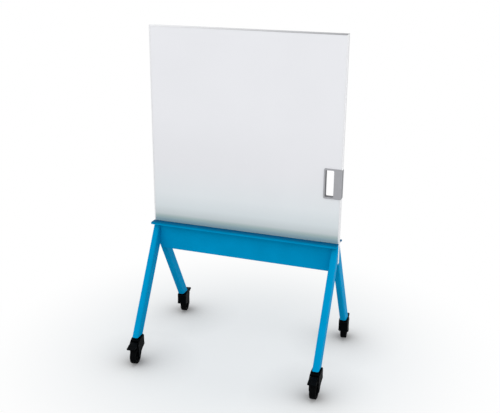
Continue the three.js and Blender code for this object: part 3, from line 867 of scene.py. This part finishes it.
def wheel_hub():
    bore, boss, rim = 4.3 * MM, 12 * MM, 38.7 * MM
    rim_in = rim - 4 * MM
    half, boss_half, web = 15.5 * MM, HALF_ROOM - 0.5 * MM, 5 * MM
    side = [(bore, boss_half), (bore + MM, boss_half)]
    side += arc((boss - 1.5 * MM, boss_half - 1.5 * MM), 1.5 * MM, 90, 0, 4)
    side += [(boss, web + 2 * MM)] + arc((boss + 2 * MM, web + 2 * MM), 2 * MM, 180, 270, 4)
    side += arc((rim_in - 2 * MM, web + 2 * MM), 2 * MM, 270, 360, 4) + [(rim_in, half - 2 * MM)]
    side += [(rim_in + MM, half - 0.4 * MM)] + arc((rim - 0.8 * MM, half - 0.8 * MM), 0.8 * MM, 90, 0, 3)
    profile = side + [(r, -z) for r, z in reversed(side)]
    body = turned("hub", profile, 72)
    for k in range(6):
        rib = box("rib", (10.5 * MM, -1.5 * MM, -11 * MM), (rim_in + 0.6 * MM, 1.5 * MM, 11 * MM))
        join(body, moved(rib, Matrix.Rotation(math.radians(60 * k + 15), 4, "Z")))
    return smooth(along_y(body, AXLE_X, AXLE_Z), 0.25 * MM)


def tyre():
    bore, outer, half = 39 * MM, 50 * MM, 17.5 * MM
    shoulder = 5 * MM
    side = [(bore, half - MM), (bore + 0.4 * MM, half - 0.3 * MM), (bore + 1.2 * MM, half)]
    side += arc((outer - shoulder, half - shoulder), shoulder, 90, 8, 8)
    side += [(outer - 0.02 * MM, 7.5 * MM), (outer - 0.7 * MM, 7.2 * MM)]
    side += [(outer - 0.7 * MM, 6.2 * MM), (outer, 5.9 * MM)]
    profile = side + [(r, -z) for r, z in reversed(side)]
    return smooth(along_y(turned("tyre", profile, 96), AXLE_X, AXLE_Z))


def stem():
    low, high = (v.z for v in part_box("caster_stem_front_left"))
    collar = (HOOD_TOP + GAP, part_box("leg_plug_front_left")[0].z - GAP)
    neck, collar_radius, stem_radius = 6 * MM, 17 * MM, 5.5 * MM
    profile = [(0, low), (7.4 * MM, low), (8.5 * MM, low + MM), (8.5 * MM, low + 3 * MM),
               (neck, low + 3.5 * MM), (neck, collar[0]), (collar_radius - 0.5 * MM, collar[0])]
    middle, half = sum(collar) / 2, (collar[1] - collar[0]) / 2
    profile += arc((collar_radius - 0.6 * MM, middle), half, -90, 90, 6)
    profile += [(stem_radius, collar[1]), (stem_radius, high - 2 * MM), (stem_radius - 2 * MM, high)]
    profile += [(0, high)]
    return smooth(turned("stem", profile, 48))


def race():
    low, high = (v.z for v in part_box("swivel_race_front_left"))
    inner, outer = 6.3 * MM, 14.5 * MM
    profile = [(inner, low), (outer, low), (outer, high - MM)] + arc((outer - MM, high - MM), MM, 0, 90, 4)
    profile += [(inner + MM, high), (inner, high - 0.5 * MM)]
    return smooth(turned("race", profile, 48))


def rivet(name, radius, head_radius, height):
    """A rivet along Y through both cheeks, its heads domed and dimpled."""
    face = HOOD_HALF - 0.6 * MM
    dome = [(0, face + height * 0.7), (head_radius * 0.28, face + height * 0.72),
            (head_radius * 0.4, face + height)]
    dome += arc((head_radius - height * 0.7, face + height * 0.3), height * 0.7, 90, 0, 5)
    side = dome + [(head_radius, face), (radius, face)]
    profile = side + [(r, -z) for r, z in reversed(side)]
    return smooth(turned(name, profile, 40))


def add_casters():
    pieces = {
        "caster_stem": (stem(), "frame", "caster_steel", DARK_STEEL, "swivel_stem"),
        "swivel_race": (race(), "caster", "caster_steel", DARK_STEEL, "bearing_race"),
        "hood": (hood(), "caster", "caster_plastic", NYLON, "caster_hood"),
        "axle": (along_y(rivet("axle", 4 * MM, 7 * MM, 2.2 * MM), AXLE_X, AXLE_Z), "caster", "caster_steel",
                 DARK_STEEL, "axle_rivet"),
        "pedal_pin": (along_y(rivet("pin", 2.5 * MM, 4 * MM, 1.6 * MM), PEDAL_PIN_X, PEDAL_PIN_Z), "caster",
                      "caster_steel", DARK_STEEL, "pedal_rivet"),
        "wheel_hub": (wheel_hub(), "wheel", "hub_plastic", HUB, "hub_moulding"),
        "tyre": (tyre(), "wheel", "tyre_rubber", RUBBER, "tyre_ring"),
        "brake_pedal": (pedal(), "pedal", "caster_plastic", NYLON, "pedal_moulding"),
    }
    for corner in CORNERS:
        swivel = SWIVELS[corner]
        trail = Vector(JOINTS[f"roll_{corner}"]["pos_m"]) - swivel
        heading = Matrix.Rotation(math.atan2(trail.y, trail.x), 4, "Z")
        matrix = Matrix.Translation((swivel.x, swivel.y, 0)) @ heading
        for node, (piece, body, slot, look, name) in pieces.items():
            owner = body if body == "frame" else f"{body}_{corner}"
            place(copy_of(piece), f"{name}_{corner}", owner, look, [f"{node}_{corner}"], matrix)
    for piece, *_ in pieces.values():
        bpy.data.objects.remove(piece)


# ---------------------------------------------------------------- studio
FLOOR_BOUNCE = 0.62  # how brightly the floor lights the whiteboard, beside how bright it looks
CONTACT_REACH = 0.34  # how far from a caster the floor darkens
CONTACT_GLOW = (0.6, 1.0, 0.0, 0.43)  # open sky from and to, floor glow from and to
FLOOR_FADE = (0.35, 1.6)  # distances from the middle between which the floor turns white
SIDE_LIGHT = (-1, 1, 0.58, 1.31)  # toward the front left from and to, strength from and to
OVERHEAD_LIGHT = (0.1, 0.9, 1.0, 1.1)  # height of the ray from and to, strength from and to


def add_floor():
    """A pale floor that brightens to white away from the whiteboard."""
    reach = 40.0
    mesh = bpy.data.meshes.new("floor")
    corners = [(-reach, -reach, 0), (reach, -reach, 0), (reach, reach, 0), (-reach, reach, 0)]
    mesh.from_pydata(corners, [], [(0, 1, 2, 3)])
    floor = bpy.data.objects.new("floor", mesh)
    bpy.context.scene.collection.objects.link(floor)
    material = bpy.data.materials.new("floor_white")
    material.use_nodes = True
    material.cycles.emission_sampling = "NONE"
    nodes, links = material.node_tree.nodes, material.node_tree.links
    nodes.clear()
    output = nodes.new("ShaderNodeOutputMaterial")
    diffuse, glow, far_glow = (nodes.new(k) for k in
                               ("ShaderNodeBsdfDiffuse", "ShaderNodeEmission", "ShaderNodeEmission"))
    contact = nodes.new("ShaderNodeAmbientOcclusion")
    contact.inputs["Distance"].default_value = CONTACT_REACH
    contact.samples = 24
    contact_strength = nodes.new("ShaderNodeMapRange")
    for name, number in zip(RANGE_SOCKETS, CONTACT_GLOW):
        contact_strength.inputs[name].default_value = number
    links.new(contact.outputs["AO"], contact_strength.inputs["Value"])
    diffuse.inputs["Color"].default_value = (0.40, 0.405, 0.41, 1)
    glow.inputs["Color"].default_value = (0.94, 0.98, 1.0, 1)
    path = nodes.new("ShaderNodeLightPath")
    bounce = nodes.new("ShaderNodeMapRange")
    bounce.inputs["To Min"].default_value = FLOOR_BOUNCE
    bounce.inputs["To Max"].default_value = 1.0
    links.new(path.outputs["Is Camera Ray"], bounce.inputs["Value"])
    links.new(bounce.outputs["Result"], far_glow.inputs["Strength"])
    near_strength = nodes.new("ShaderNodeMath")
    near_strength.operation = "MULTIPLY"
    links.new(contact_strength.outputs["Result"], near_strength.inputs[0])
    links.new(path.outputs["Is Camera Ray"], near_strength.inputs[1])
    links.new(near_strength.outputs[0], glow.inputs["Strength"])
    near = nodes.new("ShaderNodeAddShader")
    mix = nodes.new("ShaderNodeMixShader")
    coordinates = nodes.new("ShaderNodeTexCoord")
    length = nodes.new("ShaderNodeVectorMath")
    length.operation = "LENGTH"
    fade = nodes.new("ShaderNodeMapRange")
    fade.interpolation_type = "SMOOTHSTEP"
    fade.inputs["From Min"].default_value, fade.inputs["From Max"].default_value = FLOOR_FADE
    links.new(coordinates.outputs["Object"], length.inputs[0])
    links.new(length.outputs["Value"], fade.inputs["Value"])
    links.new(diffuse.outputs[0], near.inputs[0])
    links.new(glow.outputs[0], near.inputs[1])
    links.new(fade.outputs["Result"], mix.inputs["Fac"])
    links.new(near.outputs[0], mix.inputs[1])
    links.new(far_glow.outputs[0], mix.inputs[2])
    links.new(mix.outputs[0], output.inputs["Surface"])
    mesh.materials.append(material)


def add_world():
    """A white room, brightest to the front left and a little brighter overhead."""
    world = bpy.data.worlds.new("studio")
    bpy.context.scene.world = world
    world.use_nodes = True
    nodes, links = world.node_tree.nodes, world.node_tree.links
    nodes.clear()
    output = nodes.new("ShaderNodeOutputWorld")
    light, white = nodes.new("ShaderNodeBackground"), nodes.new("ShaderNodeBackground")
    mix = nodes.new("ShaderNodeMixShader")
    path = nodes.new("ShaderNodeLightPath")
    coordinates = nodes.new("ShaderNodeTexCoord")
    toward = nodes.new("ShaderNodeVectorMath")
    toward.operation = "DOT_PRODUCT"
    toward.inputs[1].default_value = (-0.5, -0.866, 0)
    side, overhead = nodes.new("ShaderNodeMapRange"), nodes.new("ShaderNodeMapRange")
    for node, numbers in ((side, SIDE_LIGHT), (overhead, OVERHEAD_LIGHT)):
        for name, number in zip(RANGE_SOCKETS, numbers):
            node.inputs[name].default_value = number
    height = nodes.new("ShaderNodeSeparateXYZ")
    strength = nodes.new("ShaderNodeMath")
    strength.operation = "MULTIPLY"
    links.new(coordinates.outputs["Generated"], toward.inputs[0])
    links.new(coordinates.outputs["Generated"], height.inputs[0])
    links.new(toward.outputs["Value"], side.inputs["Value"])
    links.new(height.outputs["Z"], overhead.inputs["Value"])
    links.new(side.outputs["Result"], strength.inputs[0])
    links.new(overhead.outputs["Result"], strength.inputs[1])
    links.new(strength.outputs[0], light.inputs["Strength"])
    links.new(path.outputs["Is Camera Ray"], mix.inputs["Fac"])
    links.new(light.outputs[0], mix.inputs[1])
    links.new(white.outputs[0], mix.inputs[2])
    links.new(mix.outputs[0], output.inputs["Surface"])
    white.inputs["Color"].default_value = (1, 1, 1, 1)
    light.inputs["Color"].default_value = (1, 1, 1, 1)


def add_light(name, spot, target, size, power):
    data = bpy.data.lights.new(name, "AREA")
    data.shape, data.size, data.energy = "DISK", size, power
    lamp = bpy.data.objects.new(name, data)
    bpy.context.scene.collection.objects.link(lamp)
    lamp.location = spot
    lamp.rotation_euler = (Vector(target) - Vector(spot)).to_track_quat("-Z", "Y").to_euler()


def add_camera():
    data = bpy.data.cameras.new("camera")
    data.lens, data.sensor_width = 56.04, 36.0
    camera = bpy.data.objects.new("camera", data)
    bpy.context.scene.collection.objects.link(camera)
    azimuth, elevation, roll = (math.radians(a) for a in (19.431, 18.745, 0.522))
    turn = Matrix.Rotation(azimuth, 4, "Z") @ Matrix.Rotation(math.pi / 2 - elevation, 4, "X")
    camera.matrix_world = Matrix.Translation((1.3572, -3.7524, 2.2225)) @ turn @ Matrix.Rotation(roll, 4, "Z")
    data.clip_end = 200
    bpy.context.scene.camera = camera


add_camera()
add_board()
add_handle()
add_rails()
add_legs()
add_casters()
add_floor()
add_world()
add_light("key", (0.6, -3.4, 3.2), (0, 0, 0.9), 2.4, 11)
add_light("side", (3.2, 0.3, 0.7), (0.4, 0, 0.5), 1.6, 24)
bpy.context.scene.view_settings.view_transform = "Standard"
bpy.context.scene.view_settings.look = "None"
